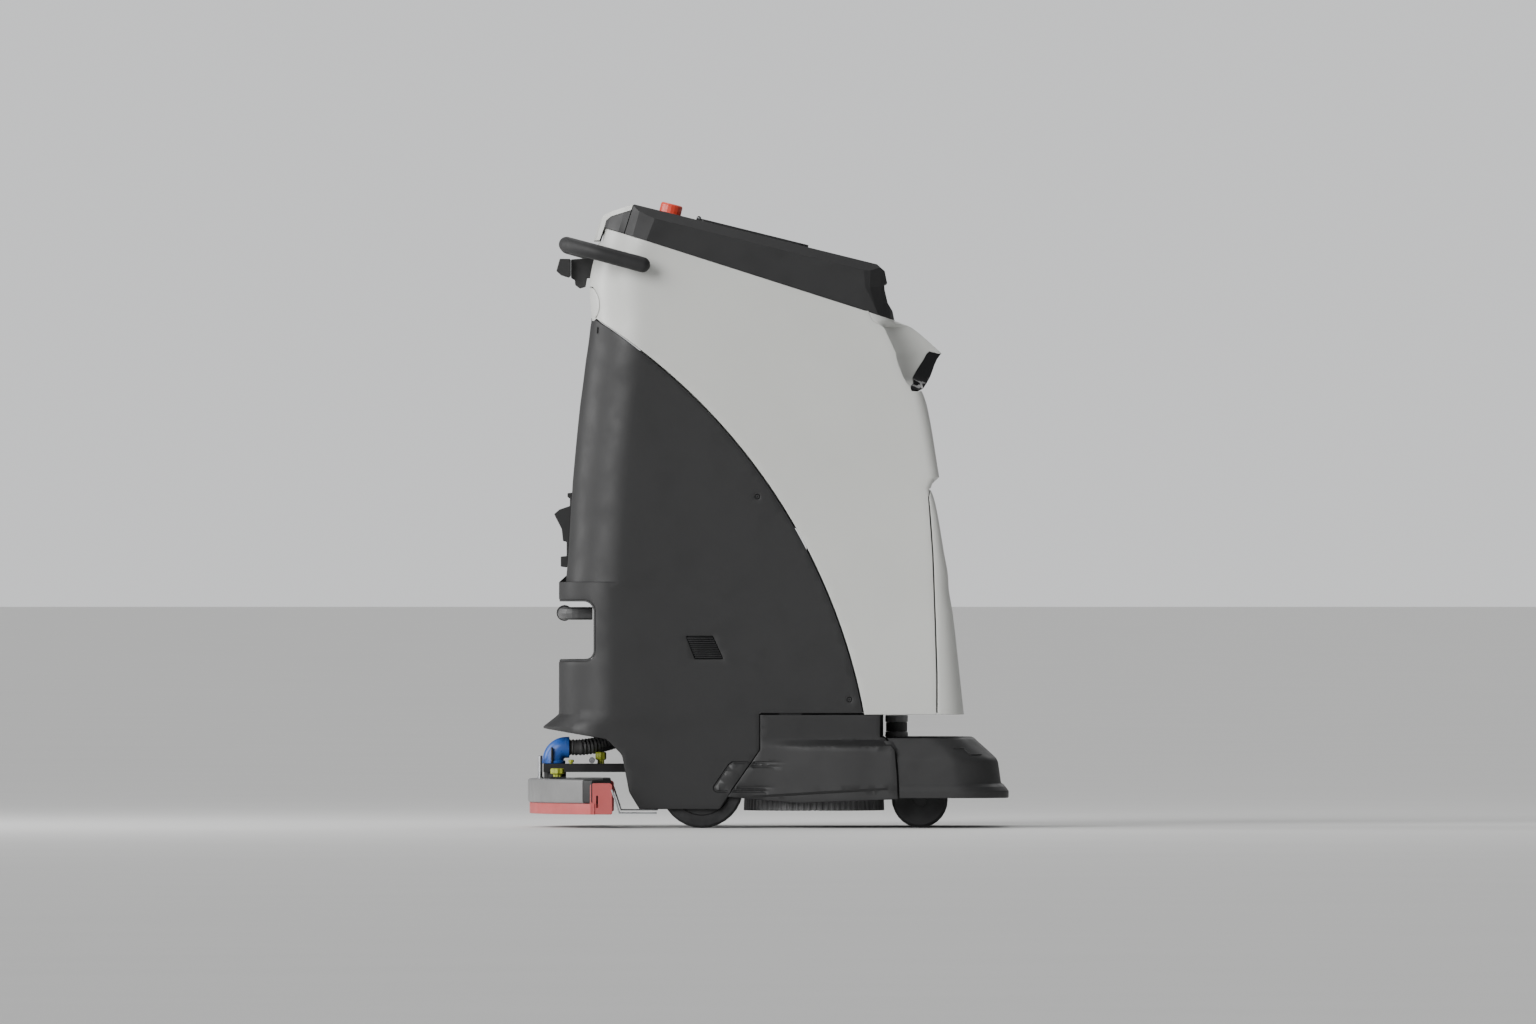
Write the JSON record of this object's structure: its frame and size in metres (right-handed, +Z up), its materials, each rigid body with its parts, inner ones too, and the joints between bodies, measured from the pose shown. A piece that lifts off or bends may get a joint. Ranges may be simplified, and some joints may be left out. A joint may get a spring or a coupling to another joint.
{
  "type": "robotic floor scrubber",
  "caption": "Self-driving wet floor scrubber with a tall sloped casing, rear push handle, brush deck, curved suction squeegee, bumper and casters.",
  "frame": {"origin": "on the floor, under the middle of the bounding box", "axes": "+X towards the front of the machine, +Y to its left, +Z up"},
  "size_m": [0.868, 0.676, 1.1299],
  "materials": {
    "shell_grey": "satin light grey",
    "panel_dark": "fine-grained dark grey",
    "cover_dark": "satin charcoal",
    "soft_black": "matt black",
    "frame_steel": "black powder coat",
    "bright_steel": "zinc plated",
    "casting_grey": "grey painted aluminium casting",
    "tyre_grey": "worn dark rubber",
    "caster_grey": "grey polyurethane",
    "stop_red": "satin red",
    "blade_red": "translucent red rubber",
    "knob_lime": "lime green",
    "elbow_blue": "blue",
    "glass_black": "black glass-like",
    "bristle_grey": "nylon bristle",
    "tank_white": "natural polyethylene",
    "hose_black": "corrugated black"
  },
  "bodies": {
    "body": {"chassis_frame": "frame_steel", "main_shell": "shell_grey", "front_panel": "shell_grey", "sensor_hood": "shell_grey", "camera_window": "glass_black", "rear_lamp": "shell_grey", "side_panel_left": "panel_dark", "side_panel_right": "panel_dark", "rear_cover": "panel_dark", "vent_grille_left": "panel_dark", "vent_grille_right": "panel_dark", "charge_block": "soft_black", "top_cover": "cover_dark", "hatch_hinge_pin": "bright_steel", "estop_base": "soft_black", "console_bezel": "shell_grey", "console_core": "cover_dark", "touch_screen": "glass_black", "push_handle": "soft_black", "handle_bracket": "soft_black", "lower_cover_left": "panel_dark", "lower_cover_right": "panel_dark", "deck_actuator": "soft_black", "squeegee_lift": "soft_black", "suction_hose": "hose_black", "drain_hose": "hose_black", "solution_tank": "tank_white", "battery_pack": "soft_black", "control_box": "soft_black", "recovery_tank": "tank_white", "vacuum_motor": "soft_black"},
    "fill_hatch": {"fill_hatch": "cover_dark"},
    "estop": {"estop_button": "stop_red"},
    "paddle": {"drive_paddle": "panel_dark"},
    "bumper": {"front_bumper": "soft_black"},
    "lidar": {"lidar_rotor": "glass_black"},
    "drive_wheel_left": {"drive_tyre_left": "tyre_grey", "drive_hub_left": "casting_grey"},
    "drive_wheel_right": {"drive_tyre_right": "tyre_grey", "drive_hub_right": "casting_grey"},
    "caster_left": {"caster_fork_left": "bright_steel"},
    "caster_right": {"caster_fork_right": "bright_steel"},
    "caster_wheel_left": {"caster_wheel_left": "caster_grey"},
    "caster_wheel_right": {"caster_wheel_right": "caster_grey"},
    "brush_deck": {"brush_deck": "casting_grey", "brush_motor_left": "frame_steel", "brush_motor_right": "frame_steel"},
    "brush_left": {"brush_disc_left": "caster_grey", "bristles_left": "bristle_grey"},
    "brush_right": {"brush_disc_right": "caster_grey", "bristles_right": "bristle_grey"},
    "squeegee": {"squeegee_body": "casting_grey", "rear_blade": "blade_red", "front_blade": "blade_red", "squeegee_arm": "frame_steel", "suction_elbow": "elbow_blue"},
    "knob_left": {"squeegee_knob_left": "knob_lime"},
    "knob_right": {"squeegee_knob_right": "knob_lime"},
    "drain_cap": {"drain_cap": "caster_grey"}
  },
  "joints": [
    {"name": "fill_hatch_hinge", "type": "hinge", "parent": "body", "child": "fill_hatch", "pos_m": [-0.12477, 0, 1.09954], "axis": [0, -1, 0], "range_deg": [0, 100]},
    {"name": "estop_press", "type": "slide", "parent": "body", "child": "estop", "axis": [-0.2397, 0, -0.9708], "range_m": [0, 0.004], "stiffness_N_per_m": 2500},
    {"name": "drive_paddle_pull", "type": "hinge", "parent": "body", "child": "paddle", "pos_m": [-0.359, 0, 1.0235], "axis": [0, 1, 0], "range_deg": [0, 12], "stiffness_Nm_per_rad": 2},
    {"name": "bumper_press", "type": "slide", "parent": "body", "child": "bumper", "axis": [-1, 0, 0], "range_m": [0, 0.0025], "stiffness_N_per_m": 9000},
    {"name": "lidar_spin", "type": "hinge", "parent": "body", "child": "lidar", "pos_m": [0.2325, 0, 0.18], "axis": [0, 0, 1], "continuous": true},
    {"name": "drive_wheel_left_spin", "type": "hinge", "parent": "body", "child": "drive_wheel_left", "pos_m": [-0.119, 0.238, 0.075], "axis": [0, 1, 0], "continuous": true},
    {"name": "drive_wheel_right_spin", "type": "hinge", "parent": "body", "child": "drive_wheel_right", "pos_m": [-0.119, -0.238, 0.075], "axis": [0, 1, 0], "continuous": true},
    {"name": "caster_left_swivel", "type": "hinge", "parent": "body", "child": "caster_left", "pos_m": [0.304, 0.19, 0.128], "axis": [0, 0, 1], "continuous": true},
    {"name": "caster_wheel_left_spin", "type": "hinge", "parent": "caster_left", "child": "caster_wheel_left", "pos_m": [0.274, 0.19, 0.05], "axis": [0, 1, 0], "continuous": true},
    {"name": "caster_right_swivel", "type": "hinge", "parent": "body", "child": "caster_right", "pos_m": [0.304, -0.19, 0.128], "axis": [0, 0, 1], "continuous": true},
    {"name": "caster_wheel_right_spin", "type": "hinge", "parent": "caster_right", "child": "caster_wheel_right", "pos_m": [0.274, -0.19, 0.05], "axis": [0, 1, 0], "continuous": true},
    {"name": "brush_deck_lift", "type": "slide", "parent": "body", "child": "brush_deck", "axis": [0, 0, 1], "range_m": [-0.029, 0]},
    {"name": "brush_left_spin", "type": "hinge", "parent": "brush_deck", "child": "brush_left", "pos_m": [0.083, 0.13, 0.06], "axis": [0, 0, 1], "continuous": true},
    {"name": "brush_right_spin", "type": "hinge", "parent": "brush_deck", "child": "brush_right", "pos_m": [0.083, -0.13, 0.06], "axis": [0, 0, 1], "continuous": true},
    {"name": "squeegee_height", "type": "slide", "parent": "body", "child": "squeegee", "axis": [0, 0, 1], "range_m": [-0.0245, 0], "deforming": ["suction_hose"]},
    {"name": "knob_left_turn", "type": "hinge", "parent": "squeegee", "child": "knob_left", "pos_m": [-0.38, 0.1, 0.1], "axis": [0, 0, 1], "range_deg": [0, 90]},
    {"name": "knob_right_turn", "type": "hinge", "parent": "squeegee", "child": "knob_right", "pos_m": [-0.38, -0.1, 0.1], "axis": [0, 0, 1], "range_deg": [0, 90]},
    {"name": "drain_cap_turn", "type": "hinge", "parent": "body", "child": "drain_cap", "pos_m": [-0.3685, 0.098, 0.3861], "axis": [0, 1, 0], "range_deg": [0, 90]}
  ],
  "couplings": [
    {"joint": "brush_right_spin", "follows": "brush_left_spin", "ratio": -1}
  ]
}
